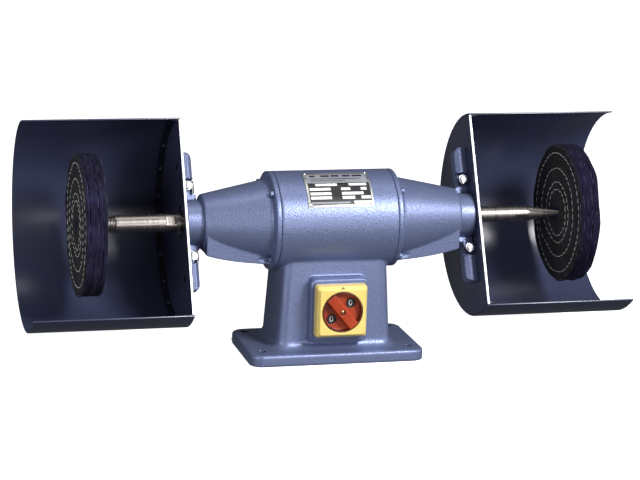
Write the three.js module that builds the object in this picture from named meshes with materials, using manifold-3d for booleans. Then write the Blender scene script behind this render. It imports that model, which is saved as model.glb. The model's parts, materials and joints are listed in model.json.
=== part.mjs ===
// Double-ended polishing machine: a cast motor stand with a tapered spindle and a cloth mop at
// each end, and a sheet-metal hood clamped round each nose of the motor.
// Millimetres. X runs along the spindle, -Y is the switch side, +Z is up.
// The origin is on the underside of the stand, straight below the middle of the spindle.
import * as THREE from 'three';
import { mergeVertices } from 'three/addons/utils/BufferGeometryUtils.js';
import Module from 'manifold-3d';

const wasm = await Module();
wasm.setup();

// ---------------------------------------------------------------- driving dimensions
const AXIS_HEIGHT = 190; // spindle above the bench
const GAP = 0.3; // between separate pieces that touch
const FINE = 28; // facets of a large round piece
const COARSE = 14; // facets of a middling round piece
const SMALL = 8; // facets of a screw or pin
const HOOD = 20; // facets of a hood's arc

const foot = { halfX: 125, halfY: 73.5, centreY: -8, corner: 18, height: 16.5, chamfer: 2.5 };
const footHole = { x: 106, front: -55, back: 50, radius: 5.5 };
const column = { topX: 75, topY: 48, footX: 82, footY: 53, corner: 15, topZ: 150, fillet: 12 };
const cavity = { topX: 66, topY: 39, footX: 72, footY: 43, corner: 8, topZ: 112 };
const cover = { halfX: 88, halfY: 58, corner: 8, thickness: 2, screwX: 80, screwY: 50 };

const barrel = { radius: 69, bore: 57, halfLength: 83.3 };
const boss = { half: 41, bottom: 28, top: 119, face: -68, corner: 8, window: 25 };
const backplate = { half: 37.5, thickness: 3.5, corner: 6 };
const switchBox = {
  halfX: 36.5, halfZ: 37, z: 77, face: -89, corner: 3, chamfer: 3, well: 29, wellFloor: -77,
};
const knob = {
  radius: 28.2, wall: 1.4, back: -77.3, floor: -80.3, rim: -89.6, barTop: -91, barHalf: 7.5,
  pitOffset: 17.5, pitRadius: 6, pitDepth: 1.5, lean: 40,
};

const shield = { flangeEnd: 90, coneStart: 93, coneRadius: 57.5, coneEnd: 186, endRadius: 38.5 };
const nose = { radius: 31, end: 208, seat: 193.3, hole: 14.5, sealPocket: 21.3 };
const gusset = { half: 38, start: 91.5, end: 182 };
const shieldBolt = { circle: 62.5, angle: 48, head: 4.25, seat: 91, shank: 2.4, depth: 20 };

const shaft = { coreRadius: 14, journal: 12.5, neck: 11, stub: 8, stubEnd: 236 };
const bearing = { inner: 12.8, outer: 26, start: 178.3, end: 193 };
const core = { half: 45, rotor: 36.4, statorBore: 37 };
const spindle = {
  start: 214.3, collar: 14.5, tip: 350, flatTurn: -60,
  left: { radius: 12.8, flat: 226.5, flatHalf: 7, taperStart: 303, tipRadius: 4.8 },
  right: { radius: 11.2, flat: 283, flatHalf: 8, taperStart: 293, tipRadius: 1.8 },
};
const mop = { radius: 100, thickness: 30, leftCentre: -343, rightCentre: 355 };

const hood = { radius: 145, sheet: 2, inner: 209, outer: 428, opening: 38, tilt: 26 };
const endPlate = { thickness: 3, hole: 24, flange: 10, flangeSheet: 1.5 };
const clamp = {
  ringRadius: 39.5, start: 187.8, earStart: 192, end: 208.7, earEnd: 98, earFrom: 60,
  back: 12, front: -10, bolt: 50, screw: 80, round: 9,
};
const plateScrewSize = { head: 5, shank: 2.5, sink: 2.5, length: 14, y: 1 };
const plate = { x0: -46, x1: 47.5, start: 11.5, end: 64.3, inset: 3.5, thickness: 0.8 };
const gland = { x: -45, z: 45, wall: 53, hole: 8, shoulder: 46, wires: 6.9, bore: 6.4 };
const contactBlock = { half: 22, front: -70, back: -32, turning: 4 };

// ---------------------------------------------------------------- materials
function finish(color, roughness, metalness) {
  return new THREE.MeshStandardMaterial({ color, roughness, metalness });
}
const hammeredPaint = () => finish(0x6f7ca8, 0.42, 0.25);
const hoodPaint = () => finish(0x262a3c, 0.25, 0.3);
const zinc = () => finish(0xd6d8dc, 0.3, 0.9);
const steel = () => finish(0xb9b2a6, 0.28, 0.95);
const darkSteel = () => finish(0x4a4a4e, 0.5, 0.8);
const denim = () => finish(0x1b1a2c, 0.95, 0);
const yellowPlastic = () => finish(0xf2d95c, 0.4, 0);
const redPlastic = () => finish(0xc43a22, 0.35, 0);
const blackPlastic = () => finish(0x1c1c1e, 0.5, 0);
const rubber = () => finish(0x161616, 0.85, 0);
const copper = () => finish(0xa4562c, 0.45, 0.7);
const tinPlate = () => finish(0xc9c6b8, 0.35, 0.8);

// ---------------------------------------------------------------- solids, cuts and joins
const deg = THREE.MathUtils.degToRad;
const axisX = new THREE.Matrix4().makeBasis(
  new THREE.Vector3(0, 1, 0), new THREE.Vector3(0, 0, 1), new THREE.Vector3(1, 0, 0));
const axisY = new THREE.Matrix4().makeBasis(
  new THREE.Vector3(1, 0, 0), new THREE.Vector3(0, 0, 1), new THREE.Vector3(0, -1, 0));

function signedVolume(position, index) {
  const a = new THREE.Vector3();
  const b = new THREE.Vector3();
  const c = new THREE.Vector3();
  let volume = 0;
  for (let i = 0; i < index.length; i += 3) {
    a.fromBufferAttribute(position, index[i]);
    b.fromBufferAttribute(position, index[i + 1]);
    c.fromBufferAttribute(position, index[i + 2]);
    volume += a.dot(b.cross(c)) / 6;
  }
  return volume;
}

// A closed three.js geometry as a solid that can be cut and joined.
function solid(geometry) {
  const bare = geometry.clone();
  bare.deleteAttribute('normal');
  bare.deleteAttribute('uv');
  const merged = mergeVertices(bare, 1e-3);
  const triangles = [];
  const source = merged.index.array;
  for (let i = 0; i < source.length; i += 3) {
    const [a, b, c] = [source[i], source[i + 1], source[i + 2]];
    if (a !== b && b !== c && c !== a) triangles.push([a, b, c]);
  }
  const outward = signedVolume(merged.attributes.position, triangles.flat()) > 0;
  const ordered = triangles.map(([a, b, c]) => (outward ? [a, b, c] : [a, c, b]));
  return new wasm.Manifold(new wasm.Mesh({
    numProp: 3,
    vertProperties: new Float32Array(merged.attributes.position.array),
    triVerts: new Uint32Array(ordered.flat()),
  }));
}

function join(...pieces) {
  return pieces.reduce((whole, piece) => whole.add(piece));
}

function cut(whole, ...tools) {
  return tools.reduce((rest, tool) => rest.subtract(tool), whole);
}

function toGeometry(manifold) {
  const mesh = manifold.getMesh();
  const geometry = new THREE.BufferGeometry();
  geometry.setAttribute('position', new THREE.BufferAttribute(mesh.vertProperties, 3));
  geometry.setIndex(new THREE.BufferAttribute(mesh.triVerts, 1));
  geometry.computeVertexNormals();
  return geometry;
}

function piece(name, manifold, material) {
  const mesh = new THREE.Mesh(toGeometry(manifold), material);
  mesh.name = name;
  return mesh;
}

function placed(...children) {
  const group = new THREE.Group();
  group.add(...children);
  return group;
}

// ---------------------------------------------------------------- basic shapes
// Turned about X from a closed list of [x, radius] corners.
function turned(profile, facets = FINE) {
  const closed = [...profile, profile[0]].map(([x, radius]) => new THREE.Vector2(radius, x));
  return solid(new THREE.LatheGeometry(closed, facets).rotateZ(-Math.PI / 2));
}

function rodX(radius, x0, x1, y = 0, z = 0, facets = COARSE) {
  const rod = new THREE.CylinderGeometry(radius, radius, Math.abs(x1 - x0), facets);
  return solid(rod.rotateZ(-Math.PI / 2).translate((x0 + x1) / 2, y, z));
}

function rodY(radius, y0, y1, x = 0, z = 0, facets = COARSE) {
  const rod = new THREE.CylinderGeometry(radius, radius, y1 - y0, facets);
  return solid(rod.translate(x, (y0 + y1) / 2, z));
}

function rodZ(radius, z0, z1, x, y, facets = COARSE) {
  const rod = new THREE.CylinderGeometry(radius, radius, z1 - z0, facets);
  return solid(rod.rotateX(Math.PI / 2).translate(x, y, (z0 + z1) / 2));
}

function block(x0, x1, y0, y1, z0, z1) {
  const box = new THREE.BoxGeometry(x1 - x0, y1 - y0, z1 - z0);
  return solid(box.translate((x0 + x1) / 2, (y0 + y1) / 2, (z0 + z1) / 2));
}

// A shape drawn in Y and Z, drawn out along X.
function alongX(shape, x0, x1, curveSegments = FINE) {
  const options = { depth: x1 - x0, bevelEnabled: false, curveSegments };
  return solid(new THREE.ExtrudeGeometry(shape, options).applyMatrix4(axisX).translate(x0, 0, 0));
}

// A shape drawn in X and Z, drawn out along Y, with an optional chamfer on the front edge.
function alongY(shape, y0, y1, chamfer = 0) {
  const options = {
    depth: y1 - y0 - chamfer, bevelEnabled: chamfer > 0, bevelThickness: chamfer,
    bevelSize: chamfer, bevelOffset: -chamfer, bevelSegments: 1, curveSegments: 6,
  };
  return solid(new THREE.ExtrudeGeometry(shape, options).applyMatrix4(axisY).translate(0, y1, 0));
}

function roundedRectangle(halfX, halfY, corner, centreX = 0, centreY = 0) {
  const shape = new THREE.Shape();
  const corners = [[1, 1, 0], [-1, 1, 90], [-1, -1, 180], [1, -1, 270]];
  for (const [sx, sy, start] of corners) {
    const x = centreX + sx * (halfX - corner);
    const y = centreY + sy * (halfY - corner);
    shape.absarc(x, y, corner, deg(start), deg(start + 90), false);
  }
  shape.closePath();
  return shape;
}

// A skin over rounded rectangles of different sizes, stacked in Z.
function stacked(sections) {
  const arcSteps = 5;
  const positions = [];
  const index = [];
  for (const { z, halfX, halfY, corner, centreY = 0 } of sections) {
    for (const [sx, sy, start] of [[1, 1, 0], [-1, 1, 90], [-1, -1, 180], [1, -1, 270]]) {
      for (let step = 0; step <= arcSteps; step += 1) {
        const angle = deg(start + (90 * step) / arcSteps);
        const x = sx * (halfX - corner) + corner * Math.cos(angle);
        const y = centreY + sy * (halfY - corner) + corner * Math.sin(angle);
        positions.push(x, y, z);
      }
    }
  }
  const ring = 4 * (arcSteps + 1);
  for (let level = 0; level < sections.length - 1; level += 1) {
    for (let i = 0; i < ring; i += 1) {
      const a = level * ring + i;
      const b = level * ring + ((i + 1) % ring);
      index.push(a, b, b + ring, a, b + ring, a + ring);
    }
  }
  const top = (sections.length - 1) * ring;
  for (let i = 1; i < ring - 1; i += 1) {
    index.push(0, i + 1, i);
    index.push(top, top + i, top + i + 1);
  }
  const geometry = new THREE.BufferGeometry();
  geometry.setAttribute('position', new THREE.Float32BufferAttribute(positions, 3));
  geometry.setIndex(index);
  return solid(geometry);
}

// ---------------------------------------------------------------- stand casting
function columnSections() {
  const { footX, footY, topX, topY, corner, topZ, fillet } = column;
  const edge = { halfX: foot.halfX, halfY: foot.halfY, corner: foot.corner, centreY: foot.centreY };
  const sections = [{ ...edge, z: 0 }, { ...edge, z: foot.height - foot.chamfer }];
  sections.push({
    z: foot.height,
    halfX: foot.halfX - foot.chamfer,
    halfY: foot.halfY - foot.chamfer,
    corner: foot.corner - foot.chamfer,
    centreY: foot.centreY,
  });
  const filletSteps = 4;
  for (let step = 0; step <= filletSteps; step += 1) {
    const angle = deg((90 * step) / filletSteps);
    const spread = fillet * (1 - Math.sin(angle));
    sections.push({
      z: foot.height + fillet * (1 - Math.cos(angle)),
      halfX: footX + spread,
      halfY: footY + spread,
      corner: corner + spread,
    });
  }
  sections.push({ z: topZ, halfX: topX, halfY: topY, corner });
  return sections;
}

function cavitySolid() {
  return stacked([
    { z: -1, halfX: cavity.footX, halfY: cavity.footY, corner: cavity.corner },
    { z: cavity.topZ, halfX: cavity.topX, halfY: cavity.topY, corner: cavity.corner },
  ]);
}

function onBarrel(angle, radius) {
  return [-radius * Math.sin(deg(angle)), AXIS_HEIGHT + radius * Math.cos(deg(angle))];
}

function shieldBoltPlaces() {
  const reach = shieldBolt.circle;
  return [1, -1].flatMap((ySign) => [1, -1].map((zSign) => [
    ySign * reach * Math.cos(deg(shieldBolt.angle)),
    zSign * reach * Math.sin(deg(shieldBolt.angle)),
  ]));
}

function housing() {
  const tube = turned([
    [-barrel.halfLength, 0], [-barrel.halfLength, barrel.radius],
    [barrel.halfLength, barrel.radius], [barrel.halfLength, 0],
  ], 40).translate([0, 0, AXIS_HEIGHT]);
  const switchBoss = alongY(
    roundedRectangle(boss.half, (boss.top - boss.bottom) / 2, boss.corner, 0,
      (boss.top + boss.bottom) / 2),
    boss.face, -45);
  const bore = rodX(barrel.bore, -90, 90, 0, AXIS_HEIGHT, FINE);
  const coverRecess = stacked([
    { z: -1, halfX: cover.halfX + GAP, halfY: cover.halfY + GAP, corner: cover.corner },
    { z: cover.thickness + GAP, halfX: cover.halfX + GAP, halfY: cover.halfY + GAP,
      corner: cover.corner },
  ]);
  const window = block(-boss.window, boss.window, boss.face - 1, -30,
    switchBox.z - boss.window, switchBox.z + boss.window);
  const wireHole = rodZ(8, cavity.topZ - 5, 140, -30, 0);
  const glandHole = rodY(gland.hole, gland.shoulder, 70, gland.x, gland.z);
  const cableHole = rodY(gland.wires, 30, gland.shoulder + 1, gland.x, gland.z);
  const tools = [bore, cavitySolid(), coverRecess, window, wireHole, glandHole, cableHole];
  for (const x of [-footHole.x, footHole.x]) {
    tools.push(rodZ(footHole.radius, -1, 30, x, footHole.front));
    tools.push(rodZ(footHole.radius, -1, 30, x, footHole.back));
    for (const [y, z] of shieldBoltPlaces()) {
      const inside = Math.sign(x) * (barrel.halfLength - 14);
      const outside = Math.sign(x) * 90;
      tools.push(rodX(shieldBolt.shank + GAP, inside, outside, y, AXIS_HEIGHT + z, 8));
    }
  }
  for (const [x, y] of coverScrewPlaces()) tools.push(rodZ(2.3, 0, 14, x, y, 8));
  for (const [x, angle] of rivetPlaces()) {
    tools.push(rivetHole(x, angle));
  }
  return piece('housing', cut(join(stacked(columnSections()), tube, switchBoss), ...tools),
    hammeredPaint());
}

// ---------------------------------------------------------------- bottom cover
function coverScrewPlaces() {
  return [1, -1].flatMap((sx) => [1, -1].map((sy) => [sx * cover.screwX, sy * cover.screwY]));
}

function countersunk(x, y, extra) {
  const profile = [
    [0, 0], [0, 4 + extra], [1.8, 2 + extra], [12 + extra, 2 + extra], [12 + extra, 0],
  ];
  return turned(profile, SMALL).rotate([0, -90, 0]).translate([x, y, 0]);
}

function bottomCover() {
  const sheet = stacked([0, cover.thickness].map((z) => ({
    z, halfX: cover.halfX, halfY: cover.halfY, corner: cover.corner,
  })));
  const holes = coverScrewPlaces().map(([x, y]) => countersunk(x, y, GAP));
  const screws = coverScrewPlaces().map(([x, y], i) => (
    piece(`cover_screw_${i + 1}`, countersunk(x, y, -0.1), zinc())));
  return placed(piece('bottom_cover', cut(sheet, ...holes), darkSteel()), ...screws);
}

// ---------------------------------------------------------------- end shields
function gussetSolid() {
  const under = new THREE.QuadraticBezierCurve(
    new THREE.Vector2(gusset.end, -40), new THREE.Vector2(148, -51),
    new THREE.Vector2(gusset.start, -54.5));
  const outline = [new THREE.Vector2(gusset.start, 0), new THREE.Vector2(gusset.end, 0)];
  const side = new THREE.Shape([...outline, ...under.getPoints(6)]);
  return alongY(side, -gusset.half, gusset.half);
}

function shieldSolid() {
  const spigot = barrel.bore - GAP;
  const outside = turned([
    [76, 0], [76, spigot], [barrel.halfLength + GAP, spigot],
    [barrel.halfLength + GAP, barrel.radius], [shield.flangeEnd, barrel.radius],
    [shield.flangeEnd + 1.5, barrel.radius - 3], [shield.coneStart, shield.coneRadius + 1.5],
    [shield.coneStart + 3, shield.coneRadius],
    [shield.coneEnd, shield.endRadius], [shield.coneEnd, nose.radius],
    [nose.end, nose.radius], [nose.end, 0],
  ]);
  const inside = turned([
    [75, 0], [75, 50], [97, 46], [165, bearing.outer + GAP],
    [nose.seat, bearing.outer + GAP], [nose.seat, nose.hole], [200, nose.hole],
    [200, nose.sealPocket], [nose.end + 1, nose.sealPocket], [nose.end + 1, 0],
  ], 24);
  const pockets = shieldBoltPlaces().flatMap(([y, z]) => [
    rodX(6, shieldBolt.seat, 112, y, z, 12),
    rodX(shieldBolt.shank + GAP, 80, 95, y, z, 8),
  ]);
  return cut(join(outside, gussetSolid()), inside, ...pockets);
}

function shieldBoltSolid(y, z) {
  const head = turned([
    [shieldBolt.seat + GAP, 0], [shieldBolt.seat + GAP, shieldBolt.head],
    [shieldBolt.seat + 5, shieldBolt.head], [shieldBolt.seat + 5, 0],
  ], SMALL);
  const shank = rodX(shieldBolt.shank, shieldBolt.seat - shieldBolt.depth, shieldBolt.seat + 1,
    0, 0, 8);
  const socket = rodX(2.2, shieldBolt.seat + 2.5, shieldBolt.seat + 6, 0, 0, 6);
  return cut(join(head, shank), socket).translate([0, y, z]);
}

function bearingSolid() {
  const { inner, outer, start, end } = bearing;
  return turned([[start, inner], [start, outer], [end, outer], [end, inner]], 24);
}

function sealSolid() {
  return turned([[200.3, 11.5], [200.3, 21], [207.7, 21], [207.7, 17], [206, 11.5]], 24);
}

// One end of the motor, modelled at +X and turned half round for the left end.
function motorEnd(side, turn) {
  const bolts = shieldBoltPlaces().map(([y, z], i) => (
    piece(`${side}_shield_bolt_${i + 1}`, shieldBoltSolid(y, z), zinc())));
  const end = placed(
    piece(`${side}_end_shield`, shieldSolid(), hammeredPaint()),
    piece(`${side}_bearing`, bearingSolid(), steel()),
    piece(`${side}_shaft_seal`, sealSolid(), rubber()),
    ...bolts);
  end.rotation.z = turn;
  end.position.z = AXIS_HEIGHT;
  return end;
}

// ---------------------------------------------------------------- motor
function windingSolid(x0, x1) {
  return turned([
    [x0, 39], [x0 + 5, 54], [x1 - 4, 54], [x1, 50], [x1, 39],
  ], 24);
}

function motorCore() {
  const stator = turned([
    [-core.half, core.statorBore], [-core.half, barrel.bore - GAP],
    [core.half, barrel.bore - GAP], [core.half, core.statorBore],
  ]);
  const group = placed(
    piece('stator_core', stator, darkSteel()),
    piece('right_end_winding', windingSolid(core.half + GAP, 68), copper()),
    piece('left_end_winding', windingSolid(core.half + GAP, 68).rotate([0, 0, 180]), copper()));
  group.position.z = AXIS_HEIGHT;
  return group;
}

// ---------------------------------------------------------------- rotor, spindles and mops
function shaftSolid() {
  const right = [
    [core.half + 12, shaft.coreRadius], [core.half + 12, shaft.journal + 1.5],
    [bearing.start - GAP, shaft.journal + 1.5], [bearing.start - GAP, shaft.journal],
    [bearing.end, shaft.journal], [bearing.end, shaft.neck], [214, shaft.neck],
    [214, shaft.stub], [shaft.stubEnd, shaft.stub],
  ];
  const left = right.map(([x, radius]) => [-x, radius]).reverse();
  return turned([[-shaft.stubEnd, 0], ...left, ...right, [shaft.stubEnd, 0]], 20);
}

function rotorCoreSolid() {
  const inner = shaft.coreRadius + GAP;
  return turned([
    [-core.half, inner], [-core.half, core.rotor], [core.half, core.rotor], [core.half, inner],
  ]);
}

// A tapered screw spindle with two wrench flats; side is its own set of sizes.
function spindleSolid(side) {
  const body = turned([
    [spindle.start, 0], [spindle.start, spindle.collar], [spindle.start + 3, spindle.collar],
    [spindle.start + 4, side.radius], [side.taperStart, side.radius],
    [spindle.tip - 2, side.tipRadius + 0.6], [spindle.tip, side.tipRadius],
    [spindle.tip, 0],
  ], 24);
  const socket = rodX(shaft.stub + GAP, spindle.start - 1, shaft.stubEnd + 1);
  const level = side.radius - 1.6;
  const flats = [1, -1].map((up) => (
    block(side.flat - side.flatHalf, side.flat + side.flatHalf, -15, 15,
      up > 0 ? level : -15, up > 0 ? 15 : -level)));
  return cut(body, socket, ...flats.map((flat) => flat.rotate([spindle.flatTurn, 0, 0])));
}

// A cloth mop with a tapered hole that the spindle screws into.
function mopSolid(centre) {
  const side = centre > 0 ? spindle.right : spindle.left;
  const near = Math.abs(centre) - mop.thickness / 2;
  const far = near + mop.thickness;
  const taper = (side.radius - side.tipRadius - 0.6) / (spindle.tip - 2 - side.taperStart);
  const hole = (x) => Math.max(
    side.radius - taper * (x - side.taperStart), side.tipRadius) + 2 * GAP + 0.4;
  const profile = [
    [near, hole(near)], [near, mop.radius - 12], [near + 4, mop.radius],
    [far - 4, mop.radius], [far, mop.radius - 12], [far, hole(far)],
  ];
  const solidMop = turned(profile, FINE);
  return centre > 0 ? solidMop : solidMop.rotate([0, 0, 180]);
}

function rotor() {
  const group = placed(
    piece('rotor_shaft', shaftSolid(), steel()),
    piece('rotor_core', rotorCoreSolid(), darkSteel()),
    piece('right_taper_spindle', spindleSolid(spindle.right), steel()),
    piece('left_taper_spindle', spindleSolid(spindle.left).rotate([0, 0, 180]), steel()),
    piece('right_mop', mopSolid(mop.rightCentre), denim()),
    piece('left_mop', mopSolid(mop.leftCentre), denim()));
  group.position.z = AXIS_HEIGHT;
  return group;
}

// ---------------------------------------------------------------- nameplate
function rivetPlaces() {
  const margin = 3;
  return [plate.x0 + plate.inset, plate.x1 - plate.inset].flatMap((x) => (
    [plate.start + margin, plate.end - margin].map((angle) => [x, angle])));
}

function standingOnBarrel(manifold, x, angle) {
  const [y, z] = onBarrel(angle, barrel.radius);
  return manifold.rotate([angle, 0, 0]).translate([x, y, z]);
}

function rivetHole(x, angle) {
  return standingOnBarrel(rodZ(1.3, -5, 5, 0, 0, 8), x, angle);
}

function nameplate() {
  const inner = barrel.radius + GAP;
  const outer = inner + plate.thickness;
  const from = deg(90 + plate.start);
  const to = deg(90 + plate.end);
  const shape = new THREE.Shape();
  shape.absarc(0, 0, outer, from, to, false);
  shape.absarc(0, 0, inner, to, from, true);
  const sheet = alongX(shape, plate.x0, plate.x1, 12).translate([0, 0, AXIS_HEIGHT]);
  const rivets = rivetPlaces().map(([x, angle], i) => {
    const shank = rodZ(1, -4, 2, 0, 0, 8);
    const head = solid(new THREE.CylinderGeometry(1.2, 2.2, 1.1, 12).rotateX(Math.PI / 2)
      .translate(0, 0, 2.05));
    return piece(`nameplate_rivet_${i + 1}`, standingOnBarrel(join(shank, head), x, angle), zinc());
  });
  const holes = rivetPlaces().map(([x, angle]) => rivetHole(x, angle));
  return placed(piece('nameplate', cut(sheet, ...holes), tinPlate()), ...rivets);
}

// ---------------------------------------------------------------- switch
function switchHousing() {
  const { halfX, halfZ, z, face, corner, chamfer, well, wellFloor } = switchBox;
  const back = boss.face - GAP - backplate.thickness - GAP;
  const body = alongY(roundedRectangle(halfX, halfZ, corner + chamfer, 0, z), face, back, chamfer);
  const trimmed = cut(body, block(-50, 50, back - 0.01, back + 10, 0, 160));
  const wellCut = rodY(well, face - 1, wellFloor, 0, z, FINE);
  const shaftHole = rodY(4.5, face, back + 1, 0, z);
  return piece('switch_housing', cut(trimmed, wellCut, shaftHole), yellowPlastic());
}

function switchBackplate() {
  const { half, thickness, corner } = backplate;
  const outline = roundedRectangle(half, half + 4, corner, 0, switchBox.z - 4);
  const y1 = boss.face - GAP;
  const sheet = alongY(outline, y1 - thickness, y1);
  const window = block(-boss.window, boss.window, y1 - 10, y1 + 5,
    switchBox.z - boss.window, switchBox.z + boss.window);
  return piece('switch_backplate', cut(sheet, window), hammeredPaint());
}

function switchBody() {
  const { half, front, back, turning } = contactBlock;
  const body = block(-half, half, front, back, switchBox.z - half, switchBox.z + half);
  const hole = rodY(turning, front - 1, back - 8, 0, switchBox.z);
  return piece('switch_contact_block', cut(body, hole), blackPlastic());
}

// A shallow cup with a bar across it, turned round Y to its off position.
function switchKnob() {
  const { radius, wall, back, floor, rim, barTop, barHalf, lean } = knob;
  const inner = radius - wall;
  const cup = cut(rodY(radius, rim, back, 0, 0, FINE), rodY(inner, rim - 1, floor, 0, 0, FINE));
  const bar = alongY(roundedRectangle(barHalf, inner + 0.5, 3, 0, 0), barTop, floor + 1, 1.5);
  const pits = [1, -1].map((side) => (
    rodY(knob.pitRadius, floor - 1, floor + knob.pitDepth, side * knob.pitOffset, 0)));
  const screwWell = rodY(4, barTop - 1, barTop + 4, 0, 0, 12);
  const socket = rodY(3 + GAP, barTop, back + 1, 0, 0, 12);
  const shaped = cut(join(cup, bar), ...pits, screwWell, socket);
  const screw = join(rodY(3.5, barTop + 0.6, barTop + 3.2, 0, 0, 12),
    rodY(1.6, barTop + 3, barTop + 9, 0, 0, 8));
  const stem = cut(rodY(3, barTop + 4.3, -42, 0, 0, 12),
    rodY(2, barTop + 3, barTop + 10, 0, 0, 8));
  const group = placed(
    piece('switch_knob', shaped, redPlastic()),
    piece('switch_knob_screw', screw, zinc()),
    piece('switch_shaft', stem, steel()));
  group.position.z = switchBox.z;
  group.rotation.y = deg(-lean);
  return group;
}

// ---------------------------------------------------------------- wiring
function wiring() {
  const terminals = block(-34, 26, 5, 27, cover.thickness + GAP, 24);
  const slots = [-24, -4, 16].map((x) => block(x - 5, x + 5, 4, 28, 16, 25));
  const stub = rodY(7.6, gland.shoulder + 0.5, gland.wall + 4, 0, 0);
  const nut = rodY(12, gland.wall + GAP, gland.wall + 8, 0, 0, 6);
  const dome = rodY(9.5, gland.wall + 7, gland.wall + 20, 0, 0);
  const bore = rodY(gland.bore, 30, gland.wall + 25, 0, 0, 16);
  const body = cut(join(stub, nut, dome), bore).translate([gland.x, 0, gland.z]);
  return placed(
    piece('terminal_block', cut(terminals, ...slots), blackPlastic()),
    piece('cable_gland', body, blackPlastic()));
}

// ---------------------------------------------------------------- hoods
// Each hood is drawn with its opening facing -Y, then tilted back round the spindle.
function hoodArc(outer, inner) {
  const away = (radius) => Math.acos(hood.opening / radius);
  const shape = new THREE.Shape();
  shape.absarc(0, 0, outer, Math.PI + away(outer), Math.PI - away(outer), false);
  shape.absarc(0, 0, inner, Math.PI - away(inner), Math.PI + away(inner), true);
  return shape;
}

function hoodDisc(radius) {
  const away = Math.acos(hood.opening / radius);
  const shape = new THREE.Shape();
  shape.absarc(0, 0, radius, Math.PI + away, Math.PI - away, false);
  shape.closePath();
  return shape;
}

function span(side, near, far) {
  return side > 0 ? [near, far] : [-far, -near];
}

function hoodShell(side) {
  const arc = hoodArc(hood.radius, hood.radius - hood.sheet);
  return alongX(arc, ...span(side, hood.inner, hood.outer), HOOD);
}

function hoodPlate(side) {
  const radius = hood.radius - hood.sheet - 2 * GAP;
  const flangeStart = hood.inner + endPlate.thickness - 0.5;
  const disc = alongX(hoodDisc(radius), ...span(side, hood.inner, hood.inner + endPlate.thickness),
    HOOD);
  const flange = alongX(hoodArc(radius, radius - endPlate.flangeSheet),
    ...span(side, flangeStart, flangeStart + endPlate.flange), HOOD);
  const hole = rodX(endPlate.hole, ...span(side, hood.inner - 1, hood.inner + 5), 0, 0, FINE);
  const screws = [1, -1].map((end) => plateScrew(side, end, GAP));
  return cut(join(disc, flange), hole, ...screws);
}

// A countersunk screw through the end plate into an ear of the clamp.
function plateScrew(side, end, extra) {
  const { head, shank, sink, length, y } = plateScrewSize;
  const face = hood.inner + endPlate.thickness;
  const overcut = extra > 0 ? 1 : 0;
  const tip = face - length - extra;
  const profile = [
    [face + overcut, 0], [face + overcut, head + extra], [face, head + extra],
    [face - sink, shank + extra], [tip, shank + extra], [tip, 0],
  ];
  const screw = turned(profile, SMALL);
  return (side > 0 ? screw : screw.rotate([0, 0, 180])).translate([0, y, end * clamp.screw]);
}

function earShape(side, end) {
  const shape = new THREE.Shape();
  const far = clamp.earEnd;
  const { earStart, end: plateSide, round } = clamp;
  shape.moveTo(plateSide, 33);
  shape.lineTo(plateSide, far);
  shape.lineTo(earStart + round, far);
  shape.absarc(earStart + round, far - round, round, Math.PI / 2, Math.PI, false);
  shape.lineTo(earStart, 33);
  shape.closePath();
  const points = shape.getPoints(5).map((p) => new THREE.Vector2(side * p.x, end * p.y));
  return new THREE.Shape(points);
}

function clampRing(side) {
  return rodX(clamp.ringRadius, ...span(side, clamp.start, clamp.end), 0, 0, FINE);
}

function clampBolts(extra) {
  return [1, -1].map((end) => rodY(2.8 + extra, clamp.front - 1, clamp.back - 2, 0,
    end * clamp.bolt, SMALL));
}

function noseBore(side) {
  return rodX(nose.radius + GAP, ...span(side, clamp.start - 1, clamp.end + 1), 0, 0, FINE);
}

function clampBar(side) {
  const boltX = side * (clamp.earStart + clamp.end) / 2;
  const ears = [1, -1].map((end) => alongY(earShape(side, end), clamp.front, clamp.back));
  const frontHalf = block(...span(side, clamp.start - 1, clamp.end + 1), -60, GAP / 2,
    -clamp.earFrom, clamp.earFrom);
  const holes = clampBolts(GAP).map((bolt) => bolt.translate([boltX, 0, 0]));
  const screws = [1, -1].map((end) => plateScrew(side, end, GAP));
  return cut(join(clampRing(side), ...ears), frontHalf, noseBore(side), ...holes, ...screws);
}

function clampCap(side) {
  const boltX = side * (clamp.earStart + clamp.end) / 2;
  const lugEnd = clamp.earFrom - 2;
  const lugs = block(...span(side, clamp.earStart, clamp.end), clamp.front, 0, -lugEnd, lugEnd);
  const backHalf = block(...span(side, clamp.start - 1, clamp.end + 1), -GAP / 2, 60, -70, 70);
  const holes = clampBolts(GAP).map((bolt) => bolt.translate([boltX, 0, 0]));
  return cut(join(clampRing(side), lugs), backHalf, noseBore(side), ...holes);
}

function clampBolt(side, end) {
  const under = clamp.front - GAP;
  const washer = rodY(6.4, under - 1.2, under);
  const head = rodY(5.8, under - 5, under - 1, 0, 0, 6);
  const shank = rodY(2.8, under - 1, clamp.back - 3, 0, 0, SMALL);
  const x = side * (clamp.earStart + clamp.end) / 2;
  return join(washer, head, shank).translate([x, 0, end * clamp.bolt]);
}

function hoodAssembly(name, side) {
  const ends = [['upper', 1], ['lower', -1]];
  const group = placed(
    piece(`${name}_hood_shell`, hoodShell(side), hoodPaint()),
    piece(`${name}_hood_plate`, hoodPlate(side), hoodPaint()),
    piece(`${name}_clamp_bar`, clampBar(side), hammeredPaint()),
    piece(`${name}_clamp_cap`, clampCap(side), hammeredPaint()),
    ...ends.map(([place, end]) => (
      piece(`${name}_clamp_bolt_${place}`, clampBolt(side, end), zinc()))),
    ...ends.map(([place, end]) => (
      piece(`${name}_plate_screw_${place}`, plateScrew(side, end, 0), darkSteel()))));
  group.position.z = AXIS_HEIGHT;
  group.rotation.x = deg(-hood.tilt);
  return group;
}

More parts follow.
